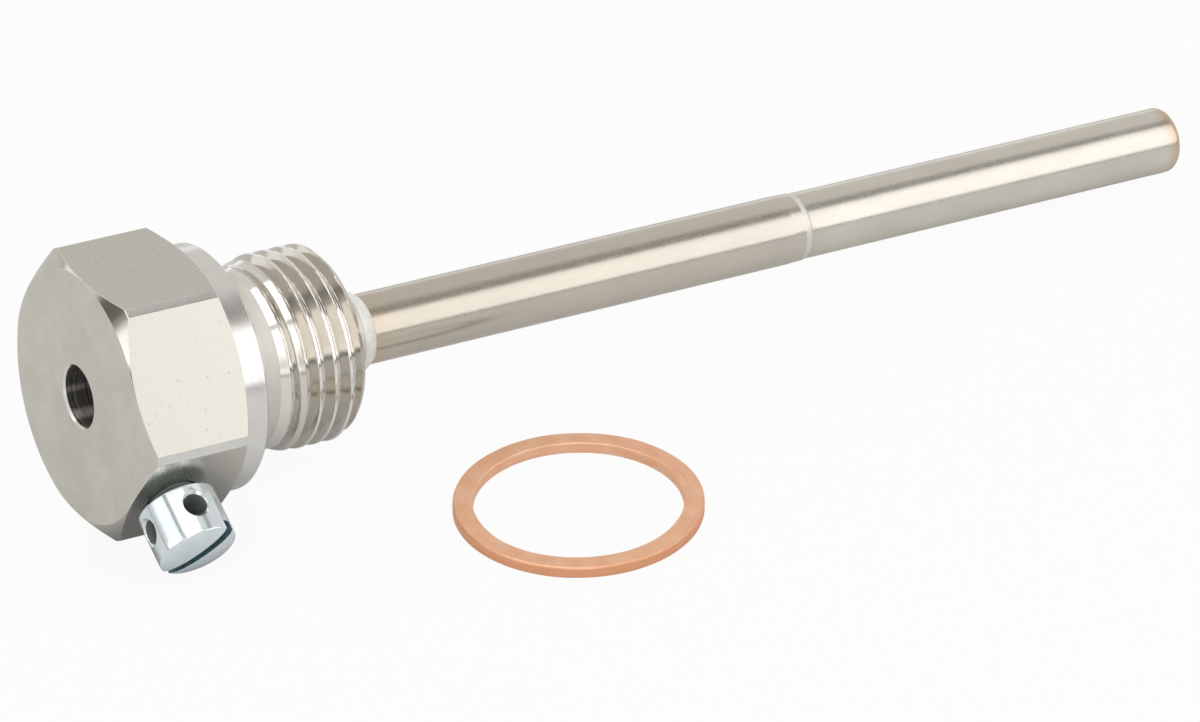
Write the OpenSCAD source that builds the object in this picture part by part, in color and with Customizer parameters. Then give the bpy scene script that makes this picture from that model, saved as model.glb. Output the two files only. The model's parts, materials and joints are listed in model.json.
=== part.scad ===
// Thermowell with a hexagon head, a pipe thread, a two-part welded stem, a capstan
// clamping screw for the probe and a loose sealing ring.
//
// It lies as it comes to rest: on the lower flat of its head and the end of its stem.
// The origin is the centre of the sealing face behind the head, +X runs out along the
// stem as seen from above, and +Z is up. Sizes are in millimetres.

/* [Head] */
// Width across the flats of the hexagon
hex_af = 27; // [24:0.5:32]
// Depth to which its corners are turned off
corner_cut = 0.29; // [0.05:0.01:1.5]
// Length of the hexagon along the axis
hex_length = 12.3; // [10:0.1:20]
// Distance from the flats in to the turned circle on each end of the hexagon
face_inset = 0.1; // [0.05:0.05:2]
// Slope of the turned chamfers, measured from the end faces
hex_chamfer_angle = 28; // [15:1:45]
// Width of the round collar's sealing face outside the thread
collar_width = 2.6; // [1.5:0.1:5]
// Length of the collar
collar_length = 2.9; // [1.5:0.1:8]
// Bevel on the collar's edges
collar_bevel = 0.35; // [0.1:0.05:0.6]

/* [Thread] */
// Major diameter of the parallel pipe thread
thread_d = 20.8; // [18:0.1:22]
// Pitch of the thread
thread_pitch = 1.814; // [1:0.001:2.4]
// Depth of the thread groove
thread_depth = 1.162; // [0.5:0.001:1.4]
// Angle between the flanks of the groove
thread_angle = 55; // [50:1:60]
// Distance from the sealing face to the end of the thread
thread_end = 13.15; // [10:0.05:25]
// Bevel on the end of the thread
thread_bevel = 1.05; // [0.3:0.05:1.4]
// Depth of the plain neck under the collar below the crests of the thread
neck_cut = 0.8; // [0.3:0.1:1.6]
// Length of the plain neck
neck_length = 3.4; // [2:0.1:6]
// Length of the cone from the neck up to the full thread
neck_cone = 2.7; // [1:0.1:5]
// Distance from the neck at which the groove starts to sink in
thread_lead = 0.2; // [0:0.1:1]
// Direction in which it starts, counted round the axis from the top flat
thread_start_angle = 225; // [0:5:355]
// Part of a turn over which it reaches its full depth
thread_sink = 0.4; // [0.1:0.1:1]

/* [Stem] */
// Length from the sealing face to the tip
immersion = 120; // [80:1:250]
// Outer diameter of the stem tube
stem_d = 7.5; // [6:0.1:10]
// Wall of the stem tube, whose bore runs on through the head
stem_wall = 0.5; // [0.4:0.05:1.2]
// Length of the stem tube that stands out past the sealing face
stem_length = 71.6; // [40:0.1:76]
// Step down from the stem tube to the thinner tip tube
tip_step = 0.15; // [0.05:0.05:0.35]
// Wall of the tip tube
tip_wall = 0.5; // [0.4:0.05:1.2]
// Length over which the stem tube's end draws in
draw_length = 1.7; // [0.5:0.1:4]
// Depth to which it draws in
draw_depth = 0.08; // [0:0.01:0.15]
// Length of the seam cone between the two tubes
seam_length = 0.55; // [0.2:0.05:2]
// Depth to which the stem tube is pushed into the nose and the thread
stem_seat_depth = 12; // [6:0.1:13]
// Clearance round the stem tube in its seat
seat_clearance = 0.02; // [0.01:0.01:0.1]
// Rounding of the tip's rim
tip_round = 0.9; // [0.3:0.1:1.5]
// Thickness of the plug that closes the tip
plug_thickness = 1.6; // [1.2:0.1:5]
// Length of its spigot inside the tip tube
spigot_length = 2.4; // [1:0.1:8]
// Clearance round the spigot
spigot_clearance = 0.02; // [0.01:0.01:0.1]
// Wall of the nose round the stem tube, past the thread
nose_wall = 0.85; // [0.5:0.05:3]
// Length of the nose
nose_length = 2.85; // [0.5:0.05:5]
// Length of the weld bead along the stem
weld_length = 1.7; // [0.6:0.1:3]
// Thickness of the bead where it runs out on the stem
weld_toe = 0.02; // [0.01:0.01:0.1]

/* [Mouth] */
// Bevel at the mouth of the bore
mouth_bevel = 0.15; // [0.05:0.05:0.6]

/* [Clamping screw] */
// Distance of the screw's axis from the front face of the head
screw_offset = 4.75; // [4.4:0.05:7.5]
// Flat of the hexagon that the screw goes into, counted from the top one
screw_flat = 2; // [1:1:5]
// Diameter of the shank
shank_d = 5; // [3:0.1:6]
// Clearance round the shank
shank_clearance = 0.05; // [0.01:0.01:0.1]
// Gap between the bore's wall and the end of the shank
shank_stand_off = 0.35; // [0.1:0.05:1]
// Bevel on the end of the shank
shank_bevel = 0.5; // [0.1:0.1:1]
// Diameter of the head
cap_d = 8.35; // [7:0.05:11]
// Height of the head
cap_height = 5.95; // [5:0.05:9]
// Gap between the head and the flat
cap_gap = 1.1; // [0.5:0.1:3]
// Bevel on the rim of its underside
cap_rear_bevel = 0.15; // [0.05:0.05:0.5]
// Bevel on the rim of its end
cap_bevel = 0.5; // [0.1:0.05:0.8]
// Height of the crown on the head's end
cap_crown = 0.3; // [0.05:0.05:0.6]
// Diameter of the two cross holes
cross_hole_d = 2.5; // [1:0.1:2.6]
// Height of the cross holes above the underside of the head
cross_hole_height = 2.3; // [1.5:0.1:2.6]
// Width of the slot
slot_width = 1.2; // [0.6:0.1:2]
// Depth of the slot below the flat of the head's end
slot_depth = 1.4; // [0.8:0.1:2]
// Direction of the slot, from the first cross hole to the second
slot_angle = 48.9; // [0:0.1:90]

/* [Sealing ring] */
// Clearance between the ring and the thread it slips over
ring_clearance = 0.45; // [0.2:0.05:1]
// Thickness of the ring
ring_thickness = 1.3; // [0.8:0.1:3]
// Bevel on its edges
ring_bevel = 0.12; // [0.05:0.01:0.3]
// Place of the ring's centre along the stem from the sealing face
ring_x = 28.6; // [20:0.1:60]
// Distance from the stem's axis to the ring's near edge
ring_gap = 12.9; // [12.5:0.1:40]

/* [Hidden] */

round_fn = 96;
thread_steps = 36;
cut = 1;

steel_colour = [0.72, 0.71, 0.68];
tube_colour = [0.66, 0.63, 0.58];
weld_colour = [0.80, 0.79, 0.76];
zinc_colour = [0.76, 0.81, 0.84];
copper_colour = [0.83, 0.53, 0.40];

// Places along the axis, measured from the sealing face
seat_z = 0;
collar_front = seat_z - collar_length;
front_z = collar_front - hex_length;
neck_end = seat_z + neck_length;
cone_end = neck_end + neck_cone;
nose_end = thread_end + nose_length;
stem_seat = nose_end - stem_seat_depth;
weld_end = nose_end + weld_length;
draw_start = stem_length - seam_length - draw_length;
plug_front = immersion - plug_thickness;
screw_z = front_z + screw_offset;

hex_r = hex_af / 2;
hex_face_r = hex_r - face_inset;
hex_corner_r = hex_r / cos(30) - corner_cut;
hex_chamfer = (hex_corner_r - hex_face_r) * tan(hex_chamfer_angle);
flat_chamfer = face_inset * tan(hex_chamfer_angle);
thread_r = thread_d / 2;
collar_r = thread_r + collar_width;
neck_r = thread_r - neck_cut;
stem_r = stem_d / 2;
bore_r = stem_r - stem_wall;
draw_r = stem_r - draw_depth;
tip_r = stem_r - tip_step;
tip_bore_r = tip_r - tip_wall;
nose_r = stem_r + nose_wall;
cap_r = cap_d / 2;

// Screw, measured out from the axis of the bore
shank_end = bore_r + shank_stand_off;
cap_start = hex_r + cap_gap;
cap_top = cap_start + cap_height;
screw_turn = 60 * screw_flat;
crown_r = (pow(cap_r - cap_bevel, 2) + pow(cap_crown, 2)) / (2 * cap_crown);

// The surface that the thermowell lies on touches the rounded rim of the tip and the edge
// at the head that stands out furthest from there: the rear edge of the lower flat, of
// the collar or of the screw's head. Each edge is [distance below the axis, place].
rim_z = immersion - tip_round;
rim_r = tip_r - tip_round;
screw_drop = cap_top * -cos(screw_turn) + (cap_r - cap_bevel) * abs(sin(screw_turn));
rest_edges = [
    [hex_r, collar_front - flat_chamfer],
    [collar_r, seat_z - collar_bevel],
    [screw_drop, screw_z]
];
function dip_over(edge) =
    let (fall = edge[0] - rim_r, run = rim_z - edge[1])
    atan2(fall, run) - asin(tip_round / norm([fall, run]));
dip = max([for (edge = rest_edges) dip_over(edge)]);
floor_z = -rim_r * cos(dip) - rim_z * sin(dip) - tip_round;

// The ring slips over the thread and seats on the collar. It lies beside the stem.
ring_inner_r = thread_r + ring_clearance;
ring_outer_r = collar_r;
ring_y = -ring_gap - ring_outer_r;

// Turns a shape made along +Z into the lying thermowell, its +X up and its +Z along the stem.
module lying() {
    rotate([0, 90 + dip, 0]) rotate([0, 0, 180]) children();
}

// Puts a shape made out along +Z on the axis of the clamping screw.
module on_screw_axis() {
    translate([0, 0, screw_z]) rotate([0, 0, screw_turn]) rotate([0, 90, 0]) children();
}

// Cylinder of radius r from one place on the axis to another.
module rod(r, from, to) {
    translate([0, 0, from]) cylinder(r = r, h = to - from, $fn = round_fn);
}

// Solid turned from the given [radius, place] points and closed along the axis.
module turned(points) {
    rotate_extrude($fn = round_fn)
        polygon(concat([[0, points[0][1]]], points, [[0, points[len(points) - 1][1]]]));
}

module hexagon() {
    intersection() {
        translate([0, 0, front_z]) rotate([0, 0, 30])
            cylinder(r = hex_r / cos(30), h = hex_length, $fn = 6);
        turned([
            [hex_face_r, front_z],
            [hex_corner_r, front_z + hex_chamfer],
            [hex_corner_r, collar_front - hex_chamfer],
            [hex_face_r, collar_front]
        ]);
    }
}

module turned_end() {
    turned([
        [collar_r, collar_front - cut],
        [collar_r, seat_z - collar_bevel],
        [collar_r - collar_bevel, seat_z],
        [neck_r, seat_z],
        [neck_r, neck_end],
        [thread_r, cone_end],
        [thread_r, thread_end - thread_bevel],
        [thread_r - thread_bevel, thread_end],
        [nose_r, thread_end],
        [nose_r, nose_end]
    ]);
}

// Section of the thread groove at one angle, moved out by lift and open past the crest.
function groove_section(angle, z, lift) =
    let (half = thread_angle / 2,
         open_r = thread_r + thread_depth / 4 + lift,
         root_r = thread_r - thread_depth + lift,
         root_half = thread_pitch * 0.07,
         open_half = root_half + (open_r - root_r) * tan(half))
    [for (corner = [[root_r, -root_half], [root_r, root_half], [open_r, open_half], [open_r, -open_half]])
        [corner[0] * cos(angle), corner[0] * sin(angle), z + corner[1]]];

// Right-hand helical groove. It starts clear of the metal beside the neck, sinks in over
// part of a turn and runs out past the end of the thread.
module thread_groove() {
    first_z = neck_end + thread_lead;
    turns = (thread_end + thread_pitch - first_z) / thread_pitch;
    steps = ceil(turns * thread_steps);
    sections = [for (i = [0:steps])
        let (turn = i / thread_steps)
        groove_section(thread_start_angle + 360 * turn, first_z + turn * thread_pitch,
                       thread_depth * max(0, 1 - turn / thread_sink))];
    last = 4 * steps;
    polyhedron(
        points = [for (section = sections) each section],
        faces = concat(
            [[0, 1, 2], [0, 2, 3]],
            [for (i = [0:steps - 1], k = [0:3]) each
                let (a = 4 * i + k, b = 4 * i + (k + 1) % 4)
                [[a, a + 4, b + 4], [a, b + 4, b]]],
            [[last + 2, last + 1, last], [last + 3, last + 2, last]]),
        convexity = 12);
}

module pocket_body() {
    color(steel_colour) lying() difference() {
        union() {
            hexagon();
            turned_end();
        }
        thread_groove();
        rod(bore_r, front_z - cut, stem_seat + cut);
        rod(stem_r + seat_clearance, stem_seat, nose_end + cut);
        translate([0, 0, front_z - cut])
            cylinder(r1 = bore_r + mouth_bevel + cut, r2 = bore_r, h = mouth_bevel + cut, $fn = round_fn);
        on_screw_axis() rod(shank_d / 2 + shank_clearance, 0, hex_r + cut);
    }
}

module stem_tube() {
    color(tube_colour) lying() difference() {
        turned([
            [stem_r, stem_seat],
            [stem_r, draw_start],
            [stem_r - draw_depth * 0.35, draw_start + draw_length * 0.6],
            [draw_r, draw_start + draw_length],
            [tip_r, stem_length]
        ]);
        rod(bore_r, stem_seat - cut, stem_length + cut);
    }
}

module tip_tube() {
    color(tube_colour) lying() difference() {
        rod(tip_r, stem_length, plug_front);
        rod(tip_bore_r, stem_length - cut, plug_front + cut);
    }
}

module end_plug() {
    color(tube_colour) lying() {
        rotate_extrude($fn = round_fn) {
            translate([0, plug_front]) square([tip_r, plug_thickness - tip_round]);
            translate([0, plug_front]) square([rim_r, plug_thickness]);
            intersection() {
                translate([rim_r, rim_z]) circle(r = tip_round, $fn = round_fn);
                translate([0, plug_front]) square([tip_r, plug_thickness]);
            }
        }
        rod(tip_bore_r - spigot_clearance, plug_front - spigot_length, plug_front);
    }
}

module weld_bead() {
    color(weld_colour) lying() difference() {
        turned([
            [nose_r, nose_end],
            [stem_r + nose_wall * 0.85, nose_end + weld_length * 0.3],
            [stem_r + nose_wall * 0.35, nose_end + weld_length * 0.7],
            [stem_r + weld_toe, weld_end]
        ]);
        rod(stem_r, nose_end - cut, weld_end + cut);
    }
}

// Head and shank turned in one piece, with a low crown on the end.
module screw_blank() {
    shank_r = shank_d / 2;
    intersection() {
        turned([
            [shank_r - shank_bevel, shank_end],
            [shank_r, shank_end + shank_bevel],
            [shank_r, cap_start],
            [cap_r - cap_rear_bevel, cap_start],
            [cap_r, cap_start + cap_rear_bevel],
            [cap_r, cap_top - cap_bevel],
            [cap_r - cap_bevel, cap_top],
            [cap_r - cap_bevel, cap_top + cap_crown]
        ]);
        translate([0, 0, cap_top + cap_crown - crown_r]) sphere(r = crown_r, $fn = round_fn);
    }
}

module cross_hole() {
    translate([0, 0, cap_start + cross_hole_height]) rotate([0, 90, 0])
        rod(cross_hole_d / 2, -cap_r - cut, cap_r + cut);
}

module slot() {
    translate([-cap_r - cut, -slot_width / 2, cap_top - slot_depth])
        cube([cap_d + 2 * cut, slot_width, slot_depth + cap_crown + cut]);
}

module clamp_screw() {
    color(zinc_colour) lying() on_screw_axis() difference() {
        screw_blank();
        cross_hole();
        rotate([0, 0, 90]) cross_hole();
        rotate([0, 0, slot_angle]) slot();
    }
}

module sealing_ring() {
    color(copper_colour) translate([ring_x, ring_y, floor_z]) rotate_extrude($fn = round_fn)
        polygon([
            [ring_inner_r + ring_bevel, 0],
            [ring_outer_r - ring_bevel, 0],
            [ring_outer_r, ring_bevel],
            [ring_outer_r, ring_thickness - ring_bevel],
            [ring_outer_r - ring_bevel, ring_thickness],
            [ring_inner_r + ring_bevel, ring_thickness],
            [ring_inner_r, ring_thickness - ring_bevel],
            [ring_inner_r, ring_bevel]
        ]);
}

pocket_body();
stem_tube();
tip_tube();
end_plug();
weld_bead();
clamp_screw();
sealing_ring();
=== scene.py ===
import json
import math

import bmesh
import bpy
from mathutils import Matrix, Vector, noise

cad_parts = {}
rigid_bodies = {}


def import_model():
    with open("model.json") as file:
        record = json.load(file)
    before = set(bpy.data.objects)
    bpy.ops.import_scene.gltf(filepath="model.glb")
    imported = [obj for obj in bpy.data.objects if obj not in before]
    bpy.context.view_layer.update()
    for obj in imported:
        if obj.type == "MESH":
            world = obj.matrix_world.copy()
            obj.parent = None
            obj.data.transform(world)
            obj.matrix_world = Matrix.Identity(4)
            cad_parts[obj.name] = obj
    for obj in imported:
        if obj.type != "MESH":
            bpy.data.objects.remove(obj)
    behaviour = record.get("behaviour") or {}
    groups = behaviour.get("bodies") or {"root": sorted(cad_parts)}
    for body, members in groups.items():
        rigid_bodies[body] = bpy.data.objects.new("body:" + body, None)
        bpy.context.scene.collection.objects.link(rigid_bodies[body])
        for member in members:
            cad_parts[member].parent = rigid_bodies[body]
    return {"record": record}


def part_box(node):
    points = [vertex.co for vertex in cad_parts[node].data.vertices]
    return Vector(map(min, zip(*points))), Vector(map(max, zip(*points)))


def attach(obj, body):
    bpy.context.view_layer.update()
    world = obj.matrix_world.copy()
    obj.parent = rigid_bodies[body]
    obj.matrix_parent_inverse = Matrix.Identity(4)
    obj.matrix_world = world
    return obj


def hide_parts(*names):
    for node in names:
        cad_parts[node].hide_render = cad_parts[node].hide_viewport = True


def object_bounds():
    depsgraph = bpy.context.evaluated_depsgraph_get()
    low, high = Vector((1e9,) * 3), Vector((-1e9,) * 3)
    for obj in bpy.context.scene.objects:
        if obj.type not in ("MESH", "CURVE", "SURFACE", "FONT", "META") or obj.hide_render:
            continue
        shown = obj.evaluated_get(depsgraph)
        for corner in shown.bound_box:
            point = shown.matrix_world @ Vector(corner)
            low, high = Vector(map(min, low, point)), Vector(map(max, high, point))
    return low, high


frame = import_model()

CAD_BOX = [list(corner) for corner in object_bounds()]
FLOOR_Z = CAD_BOX[0][2]
MM = 0.001

# The stem's axis comes from the record; the thermowell is shaped upright along it and then laid down.
STEM_AXIS = Vector({m["name"]: m for m in frame["record"]["mounts"]}["pipe_thread"]["axis"]).normalized()
LYING = (Matrix.Rotation(math.pi / 2 + math.atan2(-STEM_AXIS.z, STEM_AXIS.x), 4, "Y")
         @ Matrix.Rotation(math.pi, 4, "Z"))

# Sizes in millimetres, angles in degrees. R is a radius; places along the stem are measured from the sealing face.
HEX_R = 13.5
HEX_CORNER_R = 15.298
HEX_FACE_R = 13.4
HEX_FRONT = -15.2
HEX_BACK = -2.9
HEX_SLOPE = math.tan(math.radians(28))
COLLAR_R = 13.0
COLLAR_BEVEL = 0.35
NECK_R = 9.3
NECK_END = 3.3
CONE_END = 6.5
THREAD_R = 10.4
THREAD_START = 3.6
THREAD_END = 13.15
THREAD_BEVEL = 1.05
THREAD_DEPTH = 1.162
THREAD_FLANK = 27.5
THREAD_TURN = 225
THREAD_SINK = 0.4
PITCH = 1.814
NOSE_R = 4.6
NOSE_END = 16.0
WELD_END = 17.7
SEAT = 4.0
SEAT_R = 3.77
STEM_R = 3.75
STEM_END = 71.6
BORE_R = 3.25
DRAW_START = 69.35
DRAW_END = 71.05
DRAW_R = 3.67
TIP_R = 3.6
TIP_BORE_R = 3.1
TIP_END = 120.0
TIP_ROUND = 0.9
PLUG_FRONT = 118.4
SPIGOT_LENGTH = 2.4

# On the hexagon's front and back faces: radii where the round rows of points end and the hexagon's begin
FRONT_SEAM = (4.6, 12.6)
BACK_SEAM = (13.12, 13.22)

# The clamping screw: its place along the stem and round it, and its sizes outward from the stem's axis
SCREW_Z = -10.45
SCREW_TURN = 120
SCREW_HOLE_R = 2.55
SHANK_R = 2.45
SHANK_START = BORE_R + 0.35
SHANK_PITCH = 0.8
SHANK_GROOVE = 0.46
SHANK_FLANK = 30
CAP_R = 4.175
CAP_START = 14.6
CAP_EDGE = 20.05
CAP_DOME = 0.78
HOLE_R = 1.25
HOLE_H = CAP_START + 2.3
SLOT_HALF = 0.6
SLOT_FLOOR = 19.15
SLOT_ANGLE = 48.9

# The sealing ring
RING_BORE_R = 10.85
RING_R = 13.0
RING_THICK = 1.3

# Edges shorter than this, in millimetres, are dissolved after a cut
SLIVER = 0.0005

# Order of the finishes in the lists that head_body and clamping_screw are given
END_FACE, MILLED, POLISHED, MATTE, THREAD, BORE = range(6)
PLATED, DARK = range(2)

# Noise seldom comes near 0 or 1, so patterns start and end their effect here
WIDE = (0.3, 0.7)
NARROW = (0.35, 0.65)

ON_SCREW = (LYING @ Matrix.Translation((0, 0, SCREW_Z))
            @ Matrix.Rotation(math.radians(SCREW_TURN), 4, "Z") @ Matrix.Rotation(math.pi / 2, 4, "Y"))
SCREW_IN_BODY = LYING.inverted() @ ON_SCREW

# The camera: its lens and sensor in millimetres, its place in metres, and where its view and its top point
LENS = 231.57
SENSOR = 36
LOOK_FROM = Vector((-0.312321, -0.60106, 0.415921))
LOOK = Vector((0.43692, 0.7312, -0.52388))
LOOK_UP = Vector((0.27806, 0.44409, 0.85174))

# The floor: how strongly it shines to the camera, in reflections and through clear things
SEEN_GLOW = 0.94
MIRRORED_GLOW = 0.15
THROUGH_GLOW = 0.9

# The floor's painted shadow beside the head, a dark spot that the metal mirrors: place and radii in metres, and its
# shades from the middle outward
PAINTED_SHADOW_STRETCH = (0.75, 1, 1)
PAINTED_SHADOW_CENTRE = (-0.0076, -0.0090, FLOOR_Z)
PAINTED_SHADOW_RADII = (0.0035, 0.0098)
PAINTED_SHADOW_SHADES = (0.06, 0.64)

# Dark ovals of the room: azimuth, elevation, half width and half height in degrees, and the level in the middle
DARK_GAPS = (
    (-14, 54.5, 17, 5.5, 0.24),
    (149, 17, 7.5, 13, 0.16),
    (172, 50.8, 30, 3.6, 0.06),
    (-62, 1.2, 45, 2.4, 0.1),
    (172, 1.6, 26, 2.6, 0.0),
    (-116, 56, 14, 4, 0.3),
)

# Lamps: azimuth, elevation, width and height in degrees, brightness, and distance in metres
LIT_POINT = Vector((0.05, 0, 0))
SOFTBOXES = (
    ("front_softbox", -46, 28.5, 52, 46, 0.7, 0.45),
    ("left_softbox", -118, 31, 24, 52, 0.86, 0.6),
    ("side_softbox", 182, 24.6, 42, 42, 0.56, 0.6),
    ("top_softbox", 175, 77, 54, 44, 0.9, 0.8),
)


# ---------------------------------------------------------------- shaping

def soft(corners, steps=3):
    """Rounds each [radius, place, rounding] corner of a profile and keeps a firm point beside each rounding."""
    # Largest share of a side that a rounding takes, and how far off the firm point is as a share of the rounding
    longest, firm = 0.4, 0.2
    points = []
    for i, (r, z, rounding) in enumerate(corners):
        if rounding == 0 or i in (0, len(corners) - 1):
            points.append((r, z))
            continue
        here = Vector((r, z))
        before = Vector(corners[i - 1][:2]) - here
        after = Vector(corners[i + 1][:2]) - here
        angle = before.angle(after)
        before_way, after_way = before.normalized(), after.normalized()
        reach = min(rounding / math.tan(angle / 2), longest * before.length, longest * after.length)
        start, end = here + before_way * reach, here + after_way * reach
        centre = here + (before_way + after_way).normalized() * reach / math.cos(angle / 2)
        side = math.copysign(1, (start - centre).cross(end - centre))
        points.append(tuple(start + before_way * reach * firm))
        for k in range(steps + 1):
            turn = Matrix.Rotation(side * (math.pi - angle) * k / steps, 2)
            points.append(tuple(centre + turn @ (start - centre)))
        points.append(tuple(end + after_way * reach * firm))
    return points


def spread(a, b, count):
    """Even steps from a to b, both included."""
    return [a + (b - a) * i / count for i in range(count + 1)]


def even_turn(columns):
    """Even angles round the axis."""
    return [2 * math.pi * i / columns for i in range(columns)]


def add_rows(bm, angles, profile_at):
    """Adds the points of a profile at each angle and joins them into a skin. Returns the rows of points."""
    columns = [[bm.verts.new((r * math.cos(a), r * math.sin(a), z)) for r, z in profile_at(a)] for a in angles]
    rows = list(zip(*columns))
    for low, high in zip(rows, rows[1:]):
        for i in range(len(angles)):
            j = (i + 1) % len(angles)
            bm.faces.new((low[i], low[j], high[j], high[i]))
    return rows


def join_rings(bm, ring_a, ring_b):
    """Bridges two rings of points that may differ in number."""
    edges = []
    for ring in (ring_a, ring_b):
        edges += [bm.edges.get((ring[i], ring[(i + 1) % len(ring)])) for i in range(len(ring))]
    bmesh.ops.bridge_loops(bm, edges=edges)


def finished_mesh(name, bm):
    """Object with the mesh, its faces turned outward."""
    bmesh.ops.recalc_face_normals(bm, faces=bm.faces)
    mesh = bpy.data.meshes.new(name)
    bm.to_mesh(mesh)
    bm.free()
    obj = bpy.data.objects.new(name, mesh)
    bpy.context.scene.collection.objects.link(obj)
    return obj


def turned(name, profile, columns=160, closed=True):
    """Object turned from a profile: a closed loop round a bore, or a line from pole to pole."""
    bm = bmesh.new()
    rows = add_rows(bm, even_turn(columns), lambda a: profile)
    if closed:
        for i in range(columns):
            j = (i + 1) % columns
            bm.faces.new((rows[-1][i], rows[-1][j], rows[0][j], rows[0][i]))
    else:
        bmesh.ops.remove_doubles(bm, verts=list(rows[0]) + list(rows[-1]), dist=1e-5)
    return finished_mesh(name, bm)


def settle(obj):
    """Turns the evaluated object into a plain mesh and clears its modifiers."""
    bpy.context.view_layer.update()
    made = bpy.data.meshes.new_from_object(obj.evaluated_get(bpy.context.evaluated_depsgraph_get()))
    obj.modifiers.clear()
    old, obj.data = obj.data, made
    bpy.data.meshes.remove(old)


def drop_slivers(obj):
    """Dissolves the faces without area that a cut can leave."""
    bm = bmesh.new()
    bm.from_mesh(obj.data)
    bmesh.ops.triangulate(bm, faces=[f for f in bm.faces if len(f.verts) > 4])
    bmesh.ops.dissolve_degenerate(bm, dist=SLIVER, edges=bm.edges[:])
    bm.to_mesh(obj.data)
    bm.free()


def cut_away(obj, cutters):
    """Takes the cutters out of the object."""
    for cutter in cutters:
        modifier = obj.modifiers.new("cut", "BOOLEAN")
        modifier.operation = "DIFFERENCE"
        modifier.solver = "EXACT"
        modifier.object = cutter
    settle(obj)
    for cutter in cutters:
        mesh = cutter.data
        bpy.data.objects.remove(cutter)
        bpy.data.meshes.remove(mesh)
    drop_slivers(obj)


def paint(obj, materials, region=lambda centre, normal: 0):
    """Gives each face the finish of the region that it lies in."""
    obj.data.materials.clear()
    for material in materials:
        obj.data.materials.append(material)
    for face in obj.data.polygons:
        face.material_index = region(face.center, face.normal)


def hand_over(obj, place, body, node, crease=35):
    """Puts a finished shape in its place on the object, shades it smooth and gives it to its body."""
    obj.data.transform(Matrix.Scale(MM, 4) @ place)
    obj.data.shade_smooth()
    obj.data.set_sharp_from_angle(angle=math.radians(crease))
    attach(obj, body)
    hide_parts(node)


# ---------------------------------------------------------------- node trees for shapes

def plug(tree, value, socket):
    """Links a socket to an input, or sets the input's value."""
    if isinstance(value, bpy.types.NodeSocket):
        tree.links.new(value, socket)
    else:
        socket.default_value = value


def wired(tree, kind, *values, **settings):
    """Adds a node, a shader's unless its kind says so in full, and plugs the values into its first inputs."""
    made = tree.nodes.new(kind if "Node" in kind else "ShaderNode" + kind)
    for key, value in settings.items():
        setattr(made, key, value)
    for value, socket in zip(values, made.inputs):
        plug(tree, value, socket)
    return made


class Shaper:
    """A small helper that writes a Geometry Nodes tree."""

    def __init__(self, name, inputs):
        self.tree = bpy.data.node_groups.new(name, "GeometryNodeTree")
        face = self.tree.interface
        face.new_socket("Geometry", in_out="INPUT", socket_type="NodeSocketGeometry")
        self.ids = {}
        for label, kind in inputs:
            self.ids[label] = face.new_socket(label, in_out="INPUT", socket_type="NodeSocket" + kind).identifier
        face.new_socket("Geometry", in_out="OUTPUT", socket_type="NodeSocketGeometry")
        self.start = wired(self.tree, "NodeGroupInput")
        self.end = wired(self.tree, "NodeGroupOutput")

    def given(self, label):
        """Socket of one of the tree's own inputs."""
        return self.start.outputs[label]

    def node(self, kind, **settings):
        return wired(self.tree, kind if kind.startswith("Shader") else "GeometryNode" + kind, **settings)

    def plug(self, value, socket):
        plug(self.tree, value, socket)

    def calc(self, operation, *values):
        return wired(self.tree, "Math", *values, operation=operation).outputs[0]

    def round_place(self):
        """Position, angle and radius of each point."""
        x, y, z = wired(self.tree, "SeparateXYZ", self.node("InputPosition").outputs[0]).outputs
        radius = self.calc("SQRT", self.calc("ADD", self.calc("MULTIPLY", x, x), self.calc("MULTIPLY", y, y)))
        return x, y, z, self.calc("ARCTAN2", y, x), radius

    def close(self, geometry):
        """Ends the tree with a Realize Instances and a Set Material node."""
        whole = self.node("RealizeInstances")
        self.plug(geometry, whole.inputs[0])
        dressed = self.node("SetMaterial")
        self.plug(whole.outputs[0], dressed.inputs["Geometry"])
        self.plug(self.given("Material"), dressed.inputs["Material"])
        self.plug(dressed.outputs[0], self.end.inputs[0])

    def apply(self, obj, **sizes):
        """Runs the tree on an object and leaves a plain mesh."""
        modifier = obj.modifiers.new(self.tree.name, "NODES")
        modifier.node_group = self.tree
        for label, value in sizes.items():
            modifier[self.ids[label.replace("_", " ")]] = value
        settle(obj)


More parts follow.
